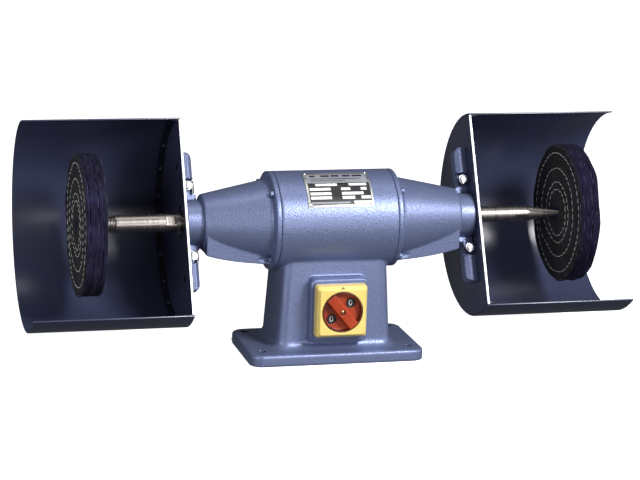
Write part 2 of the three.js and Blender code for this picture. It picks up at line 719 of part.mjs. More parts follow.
// ---------------------------------------------------------------- the machine
const machine = placed(
  housing(),
  bottomCover(),
  motorEnd('right', 0),
  motorEnd('left', Math.PI),
  motorCore(),
  nameplate(),
  switchBackplate(),
  switchHousing(),
  switchBody(),
  wiring(),
  rotor(),
  switchKnob(),
  hoodAssembly('left', -1),
  hoodAssembly('right', 1));

export default machine;
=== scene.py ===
"""Looks for the double-ended polishing machine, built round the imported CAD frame.

Shapes are written in millimetres in the row frame and turned into metres when a mesh is made.
"""

import json
import math
import random

import bmesh
import bpy
from mathutils import Matrix, Vector, noise


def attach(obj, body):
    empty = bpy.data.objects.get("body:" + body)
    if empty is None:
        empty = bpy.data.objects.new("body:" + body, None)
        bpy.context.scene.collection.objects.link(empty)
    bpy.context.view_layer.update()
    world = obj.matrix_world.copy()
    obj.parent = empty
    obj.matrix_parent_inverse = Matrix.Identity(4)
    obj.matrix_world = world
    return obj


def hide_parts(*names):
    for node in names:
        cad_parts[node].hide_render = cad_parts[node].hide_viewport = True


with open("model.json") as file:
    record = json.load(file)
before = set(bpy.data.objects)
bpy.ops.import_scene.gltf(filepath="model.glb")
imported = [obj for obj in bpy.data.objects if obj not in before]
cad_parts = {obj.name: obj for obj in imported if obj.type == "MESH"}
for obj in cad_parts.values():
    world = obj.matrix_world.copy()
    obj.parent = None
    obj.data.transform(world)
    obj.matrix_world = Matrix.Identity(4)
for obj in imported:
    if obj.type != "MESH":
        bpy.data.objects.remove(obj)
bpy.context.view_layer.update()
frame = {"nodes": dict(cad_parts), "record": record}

MM = 0.001
AXIS = 190.0
TILT = 26.0
ROUND = 144
SIDES = {"left": -1, "right": 1}

# ------------------------------------------------------------------ meshes


def make(name, points, faces):
    mesh = bpy.data.meshes.new(name)
    mesh.from_pydata([[c * MM for c in p] for p in points], [], faces)
    obj = bpy.data.objects.new(name, mesh)
    bpy.context.scene.collection.objects.link(obj)
    clean(obj)
    return obj


def clean(obj):
    work = bmesh.new()
    work.from_mesh(obj.data)
    bmesh.ops.remove_doubles(work, verts=work.verts, dist=1e-6)
    bmesh.ops.dissolve_degenerate(work, edges=work.edges, dist=1e-7)
    bmesh.ops.recalc_face_normals(work, faces=work.faces)
    work.to_mesh(obj.data)
    work.free()


def shade(obj, angle=30):
    obj.data.polygons.foreach_set("use_smooth", [True] * len(obj.data.polygons))
    obj.data.set_sharp_from_angle(angle=math.radians(angle))


def apply_modifiers(obj):
    graph = bpy.context.evaluated_depsgraph_get()
    graph.update()
    old = obj.data
    obj.data = bpy.data.meshes.new_from_object(obj.evaluated_get(graph))
    obj.modifiers.clear()
    bpy.data.meshes.remove(old)


def combine(obj, tools, operation):
    for tool in tools:
        step = obj.modifiers.new(operation, "BOOLEAN")
        step.operation = operation
        step.solver = "EXACT"
        step.object = tool
        apply_modifiers(obj)
    for tool in tools:
        bpy.data.objects.remove(tool)
    return obj


def union(obj, *tools):
    return combine(obj, tools, "UNION")


def cut(obj, *tools):
    return combine(obj, tools, "DIFFERENCE")


def cast(obj, voxel, rounding):
    """Rounds every edge and fills every inside corner, as a casting has them."""
    remesh = obj.modifiers.new("remesh", "REMESH")
    remesh.mode = "VOXEL"
    remesh.voxel_size = voxel * MM
    smooth = obj.modifiers.new("smooth", "SMOOTH")
    smooth.factor = 0.5
    smooth.iterations = rounding
    apply_modifiers(obj)
    shade(obj, 180)
    return obj


def bevelled(obj, width, segments=3, angle=35):
    bevel = obj.modifiers.new("bevel", "BEVEL")
    bevel.width = width * MM
    bevel.segments = segments
    bevel.limit_method = "ANGLE"
    bevel.angle_limit = math.radians(angle)
    apply_modifiers(obj)
    shade(obj, 40)
    return obj


def move(obj, matrix):
    obj.data.transform(matrix)
    if matrix.determinant() < 0:
        obj.data.flip_normals()
    return obj


def shift(x, y, z):
    return Matrix.Translation(Vector((x, y, z)) * MM)


def turn(degrees, axis):
    return Matrix.Rotation(math.radians(degrees), 4, axis)


def skin(rings, count):
    """Quads between each ring of count points and the next."""
    return [(ring * count + i, ring * count + (i + 1) % count,
             (ring + 1) * count + (i + 1) % count, (ring + 1) * count + i)
            for ring in range(rings - 1) for i in range(count)]


def caps(rings, count):
    """The first and the last ring as faces."""
    last = (rings - 1) * count
    return [tuple(range(count)), tuple(range(last, last + count))]


def turned(name, profile, segments=ROUND):
    """Turned about X from a closed list of (x, radius) corners."""
    points, faces = [], []
    for x, radius in profile:
        for i in range(segments):
            angle = 2 * math.pi * i / segments
            points.append((x, radius * math.cos(angle), radius * math.sin(angle)))
    rows = len(profile)
    for row in range(rows):
        following = (row + 1) % rows
        if profile[row][1] < 1e-6 and profile[following][1] < 1e-6:
            continue
        for i in range(segments):
            j = (i + 1) % segments
            faces.append((row * segments + i, row * segments + j,
                          following * segments + j, following * segments + i))
    return make(name, points, faces)


def rod(name, radius, start, end, axis="X", at=(0, 0, 0), segments=48):
    obj = turned(name, [(start, 0), (start, radius), (end, radius), (end, 0)], segments)
    if axis == "Y":
        move(obj, turn(90, "Z"))
    if axis == "Z":
        move(obj, turn(-90, "Y"))
    return move(obj, shift(*at))


def prism(name, outline, low, high, axis):
    """A flat outline drawn out along an axis: (y, z) along X, (x, z) along Y, (x, y) along Z."""
    count = len(outline)
    put = {
        "X": lambda a, b, t: (t, a, b),
        "Y": lambda a, b, t: (a, t, b),
        "Z": lambda a, b, t: (a, b, t),
    }[axis]
    points = [put(a, b, level) for level in (low, high) for a, b in outline]
    faces = [tuple(range(count)), tuple(range(2 * count - 1, count - 1, -1))]
    for i in range(count):
        j = (i + 1) % count
        faces.append((i, j, count + j, count + i))
    return make(name, points, faces)


def box(name, low, high):
    outline = [(low[0], low[1]), (high[0], low[1]), (high[0], high[1]), (low[0], high[1])]
    return prism(name, outline, low[2], high[2], "Z")


def rounded_rectangle(half_x, half_y, corner, at=(0, 0), steps=8):
    points = []
    for sx, sy, start in ((1, 1, 0), (-1, 1, 90), (-1, -1, 180), (1, -1, 270)):
        for step in range(steps + 1):
            angle = math.radians(start + 90 * step / steps)
            points.append((at[0] + sx * (half_x - corner) + corner * math.cos(angle),
                           at[1] + sy * (half_y - corner) + corner * math.sin(angle)))
    return points


def loft(name, sections, axis="Z"):
    """A skin over outlines of the same point count, each at its own level."""
    rings, count = len(sections), len(sections[0][1])
    points = []
    for level, outline in sections:
        points += [(a, b, level) if axis == "Z" else (a, level, b) for a, b in outline]
    return make(name, points, skin(rings, count) + caps(rings, count))


def joined(name, objects):
    """Several closed shapes as one mesh."""
    work = bmesh.new()
    for obj in objects:
        work.from_mesh(obj.data)
        bpy.data.objects.remove(obj)
    mesh = bpy.data.meshes.new(name)
    work.to_mesh(mesh)
    work.free()
    obj = bpy.data.objects.new(name, mesh)
    bpy.context.scene.collection.objects.link(obj)
    return obj


def finish_piece(obj, name, body, material, slot, *nodes):
    obj.name = name
    if not obj.data.materials:
        obj.data.materials.append(material)
    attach(obj, body)
    if nodes:
        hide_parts(*nodes)
    return obj


# ------------------------------------------------------------------ materials


class Nodes:
    """A material's node tree with short calls for the nodes used here."""

    def __init__(self, name, color, roughness, metallic=0.0, **sockets):
        self.material = bpy.data.materials.new(name)
        self.material.use_nodes = True
        self.tree = self.material.node_tree
        self.shader = self.tree.nodes["Principled BSDF"]
        self.put("Base Color", (*color, 1))
        self.put("Roughness", roughness)
        self.put("Metallic", metallic)
        for label, value in sockets.items():
            self.put(label.replace("_", " "), value)
        self.place = self.tree.nodes.new("ShaderNodeTexCoord").outputs["Object"]

    def put(self, socket, value):
        self.shader.inputs[socket].default_value = value

    def link(self, output, socket):
        self.tree.links.new(output, socket)

    def stretched(self, scale):
        node = self.tree.nodes.new("ShaderNodeMapping")
        node.inputs["Scale"].default_value = scale
        self.link(self.place, node.inputs["Vector"])
        return node.outputs["Vector"]

    def noise(self, scale, detail=3.0, vector=None):
        node = self.tree.nodes.new("ShaderNodeTexNoise")
        node.inputs["Scale"].default_value = scale
        node.inputs["Detail"].default_value = detail
        self.link(vector or self.place, node.inputs["Vector"])
        return node.outputs["Fac"]

    def cells(self, scale):
        node = self.tree.nodes.new("ShaderNodeTexVoronoi")
        node.feature = "SMOOTH_F1"
        node.inputs["Scale"].default_value = scale
        self.link(self.place, node.inputs["Vector"])
        return node.outputs["Distance"]

    def ramp(self, factor, stops):
        node = self.tree.nodes.new("ShaderNodeValToRGB")
        elements = node.color_ramp.elements
        while len(elements) < len(stops):
            elements.new(0.5)
        for element, (position, color) in zip(elements, stops):
            element.position = position
            element.color = (*color, 1)
        self.link(factor, node.inputs["Fac"])
        return node.outputs["Color"]

    def span(self, factor, low, high):
        node = self.tree.nodes.new("ShaderNodeMapRange")
        node.inputs["From Min"].default_value = 0.3
        node.inputs["From Max"].default_value = 0.7
        node.inputs["To Min"].default_value = low
        node.inputs["To Max"].default_value = high
        self.link(factor, node.inputs["Value"])
        return node.outputs["Result"]

    def bump(self, height, strength, distance):
        node = self.tree.nodes.new("ShaderNodeBump")
        node.inputs["Strength"].default_value = strength
        node.inputs["Distance"].default_value = distance * MM
        self.link(height, node.inputs["Height"])
        if self.shader.inputs["Normal"].is_linked:
            self.link(self.shader.inputs["Normal"].links[0].from_socket, node.inputs["Normal"])
        self.link(node.outputs["Normal"], self.shader.inputs["Normal"])

    def color(self, output):
        self.link(output, self.shader.inputs["Base Color"])

    def roughness(self, output):
        self.link(output, self.shader.inputs["Roughness"])


def hammered_paint(name, *tones):
    """Flecked stove enamel in three tones, from dark to light."""
    paint = Nodes(name, tones[1], 0.4, 0.5)
    blotch = paint.noise(600, 3)
    paint.color(paint.ramp(blotch, list(zip((0.3, 0.5, 0.7), tones))))
    paint.roughness(paint.span(paint.noise(500), 0.34, 0.48))
    paint.bump(paint.cells(520), 0.5, 0.45)
    paint.bump(paint.noise(1300), 0.3, 0.25)
    return paint.material


def gloss_enamel(name, dark, light, shine):
    enamel = Nodes(name, dark, 0.3, 0.0, Specular_IOR_Level=shine, Coat_Weight=shine / 3,
                   Coat_Roughness=0.2)
    enamel.color(enamel.ramp(enamel.noise(9, 3), [(0.2, dark), (0.8, light)]))
    enamel.roughness(enamel.span(enamel.noise(14, 2), 0.29, 0.33))
    enamel.bump(enamel.noise(700, 2), 0.04, 0.1)
    return enamel.material


def plated_steel(name, color, roughness, grain, strength=0.08):
    steel = Nodes(name, color, roughness, 1.0)
    dark = tuple(c * 0.72 for c in color)
    lines = steel.noise(1, 4, steel.stretched(grain))
    steel.color(steel.ramp(lines, [(0.3, dark), (0.7, color)]))
    steel.roughness(steel.span(lines, roughness * 0.7, roughness * 1.4))
    steel.bump(lines, strength, 0.2)
    return steel.material


def moulded(name, color, shadow, roughness, grain=900):
    plastic = Nodes(name, color, roughness, 0.0, Specular_IOR_Level=0.5)
    plastic.color(plastic.ramp(plastic.noise(30, 3), [(0.3, shadow), (0.65, color)]))
    plastic.roughness(plastic.span(plastic.noise(80), roughness * 0.8, roughness * 1.25))
    plastic.bump(plastic.noise(grain, 2), 0.08, 0.2)
    return plastic.material


def mop_cloth(name, dark, middle, light):
    cloth = Nodes(name, (0.008, 0.007, 0.02), 0.95, 0.0, Sheen_Weight=0.06,
                  Sheen_Roughness=0.5, Specular_IOR_Level=0.15)
    weave = cloth.noise(1500, 2)
    blotch = cloth.noise(26, 4)
    cloth.color(cloth.ramp(blotch, [(0.3, dark), (0.52, middle), (0.72, light)]))
    cloth.roughness(cloth.span(weave, 0.85, 1.0))
    cloth.bump(weave, 0.5, 0.4)
    cloth.bump(blotch, 0.4, 1.0)
    return cloth.material


PAINT = hammered_paint("hammered_paint", (0.135, 0.165, 0.3), (0.165, 0.2, 0.35),
                       (0.205, 0.245, 0.405))
# Painted shade: a darker copy of the casting paint for faces that lie in shade.
SHADE_PAINT = hammered_paint("shaded_paint", (0.07, 0.08, 0.155), (0.085, 0.1, 0.185),
                           (0.11, 0.125, 0.22))
ENAMEL = gloss_enamel("gloss_enamel", (0.028, 0.032, 0.068), (0.042, 0.048, 0.1), 0.5)
WELD_ENAMEL = gloss_enamel("weld_enamel", (0.05, 0.06, 0.12), (0.08, 0.09, 0.17), 0.5)
# Painted shade: a darker, duller enamel for the turned-in flange of the end sheet.
SHADED_FLANGE_ENAMEL = gloss_enamel("shaded_flange_enamel", (0.008, 0.009, 0.018), (0.012, 0.013, 0.026), 0.15)
ZINC = plated_steel("bright_zinc", (0.86, 0.87, 0.9), 0.34, (400, 400, 400), 0.02)
STEEL = plated_steel("turned_steel", (0.38, 0.345, 0.325), 0.34, (700, 8, 8), 0.015)
EDGE = plated_steel("cut_edge", (0.82, 0.83, 0.87), 0.5, (200, 200, 200), 0.05)
SHEET = plated_steel("rolled_sheet", (0.3, 0.3, 0.32), 0.45, (30, 500, 30))
LAMINATION = plated_steel("lamination", (0.16, 0.16, 0.18), 0.5, (1500, 10, 10), 0.3)
COPPER = plated_steel("winding", (0.5, 0.2, 0.08), 0.38, (700, 60, 60), 0.4)
PLATE = plated_steel("plate_metal", (0.78, 0.78, 0.76), 0.42, (40, 600, 600), 0.03)
YELLOW = moulded("yellow_plastic", (0.85, 0.66, 0.21), (0.77, 0.58, 0.16), 0.36)
RED = moulded("red_plastic", (0.44, 0.055, 0.014), (0.33, 0.035, 0.009), 0.34)
BLACK = moulded("black_plastic", (0.02, 0.02, 0.022), (0.012, 0.012, 0.013), 0.45)
RUBBER = moulded("seal_rubber", (0.014, 0.014, 0.014), (0.009, 0.009, 0.009), 0.75)
WHITE_INK = moulded("white_ink", (0.85, 0.85, 0.84), (0.76, 0.76, 0.75), 0.4)
BLACK_INK = moulded("black_ink", (0.014, 0.014, 0.018), (0.008, 0.008, 0.01), 0.4)
GREY_INK = moulded("grey_ink", (0.27, 0.28, 0.32), (0.22, 0.23, 0.27), 0.4)
CLOTH = mop_cloth("mop_face_cloth", (0.01, 0.01, 0.012), (0.017, 0.017, 0.02),
                  (0.028, 0.028, 0.034))
RIM_CLOTH = mop_cloth("mop_rim_cloth", (0.012, 0.01, 0.034), (0.022, 0.019, 0.06),
                      (0.042, 0.037, 0.105))
FRAY = moulded("frayed_edge", (0.26, 0.25, 0.4), (0.14, 0.13, 0.25), 0.95, 2500)
THREAD = moulded("stitch_thread", (0.86, 0.86, 0.84), (0.7, 0.7, 0.7), 0.9, 2500)
POINTER = moulded("pointer_paint", (0.3, 0.2, 0.08), (0.2, 0.13, 0.05), 0.5)
BRASS = plated_steel("brass_screw", (0.5, 0.3, 0.16), 0.36, (400, 400, 400), 0.02)
# Painted shade: a darker red for the knob's outer wall, which stands in shade.
SHADED_RED = moulded("shaded_red_plastic", (0.12, 0.018, 0.008), (0.08, 0.012, 0.006), 0.4)

# ------------------------------------------------------------------ stand casting

FOOT = {"half": (125, 73.5), "centre_y": -8, "corner": 18, "height": 16.5, "chamfer": 2.5}
FOOT_BOLT = {"x": 106, "front": -55, "back": 50, "radius": 5.5}
BARREL_RADIUS = 69
BARREL_HALF = 83.3
GLAND_PLACE = (-45, 0, 45)
BOLT_CIRCLE = 62.5
BOLT_ANGLE = 48


def bolt_places():
    return [(sy * BOLT_CIRCLE * math.cos(math.radians(BOLT_ANGLE)),
             sz * BOLT_CIRCLE * math.sin(math.radians(BOLT_ANGLE)))
            for sy in (1, -1) for sz in (1, -1)]


def column_solid():
    half_x, half_y = FOOT["half"]
    at = (0, FOOT["centre_y"])
    top, chamfer = FOOT["height"], FOOT["chamfer"]
    sections = [
        (0, rounded_rectangle(half_x, half_y, FOOT["corner"], at)),
        (top - chamfer, rounded_rectangle(half_x, half_y, FOOT["corner"], at)),
        (top, rounded_rectangle(half_x - chamfer, half_y - chamfer, FOOT["corner"] - chamfer, at)),
    ]
    fillet, steps = 12, 8
    for step in range(steps + 1):
        angle = math.radians(90 * step / steps)
        spread = fillet * (1 - math.sin(angle))
        sections.append((top + fillet * (1 - math.cos(angle)),
                         rounded_rectangle(82 + spread, 53 + spread, 15 + spread)))
    sections.append((150, rounded_rectangle(75, 48, 15)))
    return loft("column", sections)


def shaded_where(body, chosen):
    """Casting paint, with painted shade, a darker copy of the paint, on the chosen faces."""
    body.data.materials.append(PAINT)
    body.data.materials.append(SHADE_PAINT)
    for face in body.data.polygons:
        if chosen(face):
            face.material_index = 1
    return body


# Mask for the painted shade on the walls of the foot's bolt holes.
def in_bolt_hole(face):
    x, y = abs(face.center.x) / MM - FOOT_BOLT["x"], face.center.y / MM
    off = min(math.hypot(x, y - FOOT_BOLT["front"]), math.hypot(x, y - FOOT_BOLT["back"]))
    return off < FOOT_BOLT["radius"] + 1.1 and face.center.z < (FOOT["height"] + 1.5) * MM


def stand_casting():
    tube = rod("tube", BARREL_RADIUS, -BARREL_HALF, BARREL_HALF, at=(0, 0, AXIS), segments=ROUND)
    boss = prism("boss", rounded_rectangle(41, 45.5, 8, (0, 73.5)), -68, -45, "Y")
    body = union(column_solid(), tube, boss)
    cavity = loft("cavity", [(-1, rounded_rectangle(72, 43, 8)),
                             (112, rounded_rectangle(66, 39, 8))])
    tools = [
        rod("bore", 57, -90, 90, at=(0, 0, AXIS), segments=ROUND),
        cavity,
        prism("recess", rounded_rectangle(88.3, 58.3, 8), -1, 2.3, "Z"),
        box("window", (-25, -69, 53), (25, -30, 103)),
        rod("gland_hole", 8, 46, 70, "Y", GLAND_PLACE),
        rod("cable_hole", 6.9, 30, 47, "Y", GLAND_PLACE),
    ]
    for x in (-FOOT_BOLT["x"], FOOT_BOLT["x"]):
        tools += [rod("hole", FOOT_BOLT["radius"], -1, 30, "Z", (x, FOOT_BOLT[end], 0))
                  for end in ("front", "back")]
    # Painted shade: the walls of the foot's bolt holes take the darker shaded copy of the paint.
    return shaded_where(cast(cut(body, *tools), 1.3, 6), in_bolt_hole)


finish_piece(stand_casting(), "stand_casting", "stand", PAINT, "casting_paint", "housing")

# ------------------------------------------------------------------ end shields

SHIELD_OUTSIDE = [
    (76, 0), (76, 56.7), (83.6, 56.7), (83.6, 69), (90, 69), (91.5, 66), (93, 59), (96, 57.5),
    (183.4, 39.1), (185, 37.6), (185, 31), (208, 31), (208, 0),
]
SHIELD_INSIDE = [
    (75, 0), (75, 50), (97, 46), (165, 26.3), (193.3, 26.3), (193.3, 14.5), (200, 14.5),
    (200, 21.3), (209, 21.3), (209, 0),
]


def gusset_outline():
    points = [(91.5, 0), (182, 0)]
    for step in range(13):
        t = step / 12
        x = (1 - t) ** 2 * 182 + 2 * t * (1 - t) * 148 + t * t * 91.5
        z = (1 - t) ** 2 * -40 + 2 * t * (1 - t) * -51 + t * t * -54.5
        points.append((x, z))
    return points


def end_shield():
    body = union(turned("outside", SHIELD_OUTSIDE),
                 prism("gusset", gusset_outline(), -38, 38, "Y"))
    tools = [turned("inside", SHIELD_INSIDE)]
    for y, z in bolt_places():
        pocket = turned("pocket", [(91, 0), (91, 6), (98, 6), (108, 4.5), (112, 3), (112, 0)])
        tools.append(move(pocket, shift(0, y, z)))
    tools += [rod("shank_hole", 2.7, 80, 95, at=(0, y, z)) for y, z in bolt_places()]
    return cast(cut(body, *tools), 1.0, 5)


def socket_bolt():
    head = turned("head", [(91.3, 0), (91.3, 3.9), (91.7, 4.25), (95.6, 4.25), (96, 3.9),
                           (96, 0)], 36)
    cut(head, rod("socket", 2.2, 93.5, 97, segments=6))
    return head


def motor_end(side, sign):
    place = shift(0, 0, AXIS) @ (Matrix.Identity(4) if sign > 0 else turn(180, "Z"))
    finish_piece(move(end_shield(), place), f"{side}_shield_casting", "stand", PAINT,
                 "casting_paint", f"{side}_end_shield")
    for number, (y, z) in enumerate(bolt_places(), 1):
        bolt = move(socket_bolt(), place @ shift(0, y, z))
        shade(bolt, 30)
        finish_piece(bolt, f"{side}_shield_socket_bolt_{number}", "stand", PAINT, "zinc",
                     f"{side}_shield_bolt_{number}")


for side_name, side_sign in SIDES.items():
    motor_end(side_name, side_sign)

# ------------------------------------------------------------------ hoods and clamps

HOOD_ARC = 128
HOOD_OPENING = 38
HOOD_END = 428
HOOD_INSIDE, HOOD_OUTSIDE = 143, 145
# inner face and thickness of the end sheet, and the radii of its turned-in flange
SHEET_START, SHEET_END = 209, 212
FLANGE_INSIDE, FLANGE_OUTSIDE = 140.9, 142.4
SPOT_WELDS = (64, 46.5, 29, 12.6, -5.4, -22.9, -40.5, -57, -73.9)
CLAMP_BOLT = {"x": 200.35, "z": 50, "hole": 3.1}


def hood_place():
    return shift(0, 0, AXIS) @ turn(-TILT, "X")


def hood_reach(radius):
    """Half the angle that the hood goes round at a radius, up to its flat opening."""
    return math.pi - math.acos(HOOD_OPENING / radius)


def swept(name, section):
    """A closed (x, radius) section swept round the hood's arc, cut off flat at the front."""
    rings, count = HOOD_ARC + 1, len(section)
    points = []
    for step in range(rings):
        for x, radius in section:
            angle = hood_reach(radius) * (2 * step / HOOD_ARC - 1)
            points.append((x, radius * math.cos(angle), radius * math.sin(angle)))
    return make(name, points, skin(rings, count) + caps(rings, count))


def hood_shell(sign):
    near, far = sign * SHEET_START, sign * HOOD_END
    section = [(near, HOOD_INSIDE), (near, HOOD_OUTSIDE), (far, HOOD_OUTSIDE), (far, HOOD_INSIDE)]
    return bevelled(swept("shell", section), 0.5, 3, 60)


def hood_plate(sign):
    reach = hood_reach(FLANGE_OUTSIDE)
    arc = [(FLANGE_OUTSIDE * math.cos(a), FLANGE_OUTSIDE * math.sin(a))
           for a in (reach * (2 * i / HOOD_ARC - 1) for i in range(HOOD_ARC + 1))]
    near, far = sorted((sign * SHEET_START, sign * SHEET_END))
    disc = prism("disc", arc, near, far, "X")
    low, high = sorted((sign * 211.5, sign * 221.5))
    flange = swept("flange", [(low, FLANGE_INSIDE), (low, FLANGE_OUTSIDE),
                              (high, FLANGE_OUTSIDE), (high, FLANGE_INSIDE)])
    plate = union(disc, flange)
    cut(plate, rod("hole", 24, *sorted((sign * 205, sign * 216)), segments=96))
    bevelled(plate, 0.4, 2, 60)
    welds = [plate]
    for angle in SPOT_WELDS:
        weld = turned("weld", [(0, 0), (0, 2.6), (0.5, 2.1), (0.7, 1.2), (0.7, 0)], 20)
        move(weld, turn(180, "Z"))
        at = math.radians(angle)
        inward = Vector((0, -math.cos(at), -math.sin(at)))
        move(weld, inward.to_track_quat("-X", "Z").to_matrix().to_4x4())
        move(weld, shift(sign * 216.5, FLANGE_INSIDE * math.cos(at),
                         FLANGE_INSIDE * math.sin(at)))
        welds.append(weld)
    obj = joined("plate", welds)
    shade(obj, 40)
    for material in (ENAMEL, EDGE, SHADED_FLANGE_ENAMEL, WELD_ENAMEL):
        obj.data.materials.append(material)
    for face in obj.data.polygons:
        x, radius = abs(face.center.x), math.hypot(face.center.y, face.center.z)
        past_sheet = (SHEET_END + 0.2) * MM
        weld = radius < (FLANGE_INSIDE - 0.05) * MM and face.center.y > -36 * MM
        if weld and x > (SHEET_END + 1.5) * MM:
            face.material_index = 3
        elif face.normal.y < -0.9 and x < past_sheet:
            face.material_index = 1
        # Painted shade: faces past the end sheet, on the turned-in flange, take the darker enamel.
        elif x > past_sheet:
            face.material_index = 2
    return obj


def ear_outline(sign, end):
    points = [(208.7, 33), (208.7, 98), (201, 98)]
    for step in range(9):
        angle = math.radians(90 + 90 * step / 8)
        points.append((201 + 9 * math.cos(angle), 89 + 9 * math.sin(angle)))
    points.append((192, 33))
    return [(sign * x, end * z) for x, z in points]


def clamp_ring(sign):
    low, high = sorted((sign * 187.8, sign * 208.7))
    return rod("ring", 39.5, low, high, segments=ROUND)


def clamp_bore(sign):
    low, high = sorted((sign * 186, sign * 210))
    return rod("nose_bore", 31.3, low, high, segments=ROUND)


def clamp_bolt_holes(sign):
    return [rod("bolt_hole", CLAMP_BOLT["hole"], -12, 10, "Y",
                (sign * CLAMP_BOLT["x"], 0, end * CLAMP_BOLT["z"])) for end in (1, -1)]


def shade_ear_fronts(body):
    """Painted shade: the flat front of each ear takes the darker shaded copy of the paint."""
    return shaded_where(body, lambda face: abs(face.center.z) > 42 * MM and face.normal.y < -0.8)


def clamp_bar(sign):
    low, high = sorted((sign * 186, sign * 210))
    body = union(clamp_ring(sign), *[prism("ear", ear_outline(sign, end), -10, 12, "Y")
                                     for end in (1, -1)])
    corner = [(sign * 190, -12), (sign * 199, -12), (sign * 190, -2)]
    for end in (1, -1):
        cut(body, prism("corner", corner, *sorted((end * 61, end * 100)), "Z"))
    cut(body, box("front", (low, -60, -60), (high, 0.15, 60)), clamp_bore(sign),
        *clamp_bolt_holes(sign))
    return shade_ear_fronts(cast(body, 0.75, 3))


def clamp_cap(sign):
    low, high = sorted((sign * 192, sign * 208.7))
    body = union(clamp_ring(sign), box("lugs", (low, -10, -58), (high, 0, 58)))
    low, high = sorted((sign * 186, sign * 210))
    cut(body, box("rear", (low, -0.15, -70), (high, 60, 70)), clamp_bore(sign),
        *clamp_bolt_holes(sign))
    return shade_ear_fronts(cast(body, 0.75, 3))


def hex_bolt(sign, end):
    washer = turned("washer", [(-1.5, 3), (-1.5, 6.2), (-1.3, 6.4), (-0.5, 6.4), (-0.3, 6.2),
                               (-0.3, 3)], 40)
    head = rod("head", 5.8, -5.3, -1.4, segments=6)
    bevelled(head, 0.45, 3, 30)
    dome = turned("dome", [(-5.9, 0), (-5.8, 2.8), (-5.2, 4.6), (-5.2, 0)], 32)
    bolt = joined("bolt", [washer, head, dome])
    # The bolt is drawn along X and turned to point along Y, its head towards the front.
    move(bolt, turn(90, "Z"))
    move(bolt, shift(sign * CLAMP_BOLT["x"], -10, end * CLAMP_BOLT["z"]))
    shade(bolt, 30)
    return bolt


def hood_pieces(side, sign):
    body = f"{side}_hood"
    place = hood_place()
    finish_piece(move(hood_shell(sign), place), f"{side}_hood_sheet", body, ENAMEL, "hood_paint",
                 f"{side}_hood_shell")
    finish_piece(move(hood_plate(sign), place), f"{side}_hood_end_sheet", body, ENAMEL,
                 "hood_paint", f"{side}_hood_plate")
    finish_piece(move(clamp_bar(sign), place), f"{side}_clamp_rear", body, PAINT, "casting_paint",
                 f"{side}_clamp_bar")
    finish_piece(move(clamp_cap(sign), place), f"{side}_clamp_front", body, PAINT,
                 "casting_paint", f"{side}_clamp_cap")
    for end_name, end in (("upper", 1), ("lower", -1)):
        finish_piece(move(hex_bolt(sign, end), place), f"{side}_clamp_hex_{end_name}", body, ZINC,
                     "zinc", f"{side}_clamp_bolt_{end_name}")


for side_name, side_sign in SIDES.items():
    hood_pieces(side_name, side_sign)

# ------------------------------------------------------------------ spindles

THREAD_PITCH = 2.2
THREAD_DEPTH = 0.65
SPINDLE_START, COLLAR_END, SPINDLE_TIP = 214.3, 217.3, 350

# side: (direction, radius, middle and half length of the flats, start of the taper, tip radius)
SPINDLES = {
    "left": (-1, 12.8, 226.5, 6.5, 303, 5.0),
    "right": (1, 11.2, 283, 8, 293, 2.4),
}
FLAT_ANGLE = math.radians(30)


def spindle_radius(x, angle, sizes):
    hand, plain, flat, half, taper_start, tip = sizes
    if x < COLLAR_END:
        return 14.5 - max(0, 0.5 - (x - SPINDLE_START)) - max(0, x - (COLLAR_END - 0.5))
    if x < taper_start:
        radius = plain
        if abs(x - flat) < half + 3:
            beyond = max(0, abs(x - flat) - half)
            level = plain - 1.6 + 6 - math.sqrt(max(0, 36 - 4 * beyond * beyond))
            across = abs(math.cos(angle - FLAT_ANGLE))
            if across > 1e-3:
                radius = min(radius, level / across)
        return radius
    taper = plain - (plain - tip) * (x - taper_start) / (348 - taper_start)
    turns = (x - taper_start) / THREAD_PITCH + hand * angle / (2 * math.pi)
    wave = abs(2 * (turns - math.floor(turns)) - 1)
    depth = THREAD_DEPTH * min(1, (x - taper_start) / 2, (SPINDLE_TIP - x) / 1.5)
    return max(1.2, taper - depth * wave)


def spindle(sizes):
    hand, _, flat, half, taper_start, _ = sizes
    stations = [SPINDLE_START, SPINDLE_START + 0.5, COLLAR_END - 0.5, COLLAR_END, 218]
    stations += [flat - half - 3.5 + 0.5 * i for i in range(int(4 * half + 15))]
    stations = [x for x in stations if x < taper_start - 1]
    if taper_start - stations[-1] > 20:
        stations += [stations[-1] + 15, taper_start - 5]
    stations += [taper_start - 0.6]
    steps = int((SPINDLE_TIP - taper_start) / 0.22) + 1
    stations += [taper_start + 0.22 * i for i in range(steps)]
    rings, segments = len(stations), 64
    points = []
    for x in stations:
        for i in range(segments):
            angle = 2 * math.pi * i / segments
            radius = spindle_radius(x, angle, sizes)
            points.append((x, radius * math.cos(angle), radius * math.sin(angle)))
    obj = make("spindle", points, skin(rings, segments) + caps(rings, segments))
    if hand < 0:
        move(obj, turn(180, "Z"))
    shade(obj, 35)
    return move(obj, shift(0, 0, AXIS))


for side_name, side_sizes in SPINDLES.items():
    finish_piece(spindle(side_sizes), f"{side_name}_spindle", "rotor", STEEL,
                 "spindle_steel", f"{side_name}_taper_spindle")

# ------------------------------------------------------------------ cloth mops

MOP_THICKNESS = 30
MOP_RADIUS = 100
SECTIONS = 5
PLIES = 8
STITCH_RINGS = (34, 44, 64, 86)
LINK = 0.16


def wobble(x, y, z, seed):
    return noise.noise(Vector((x, y, z + seed * 7.3)))


def stitch_radius(turns):
    """Radius of the sewn line: rings, each joined to the next by a slanted run."""
    index = min(int(turns), len(STITCH_RINGS) - 1)
    part = turns - index
    if index == len(STITCH_RINGS) - 1 or part < 1 - LINK:
        return STITCH_RINGS[index]
    step = (part - 1 + LINK) / LINK
    return STITCH_RINGS[index] + (STITCH_RINGS[index + 1] - STITCH_RINGS[index]) * step


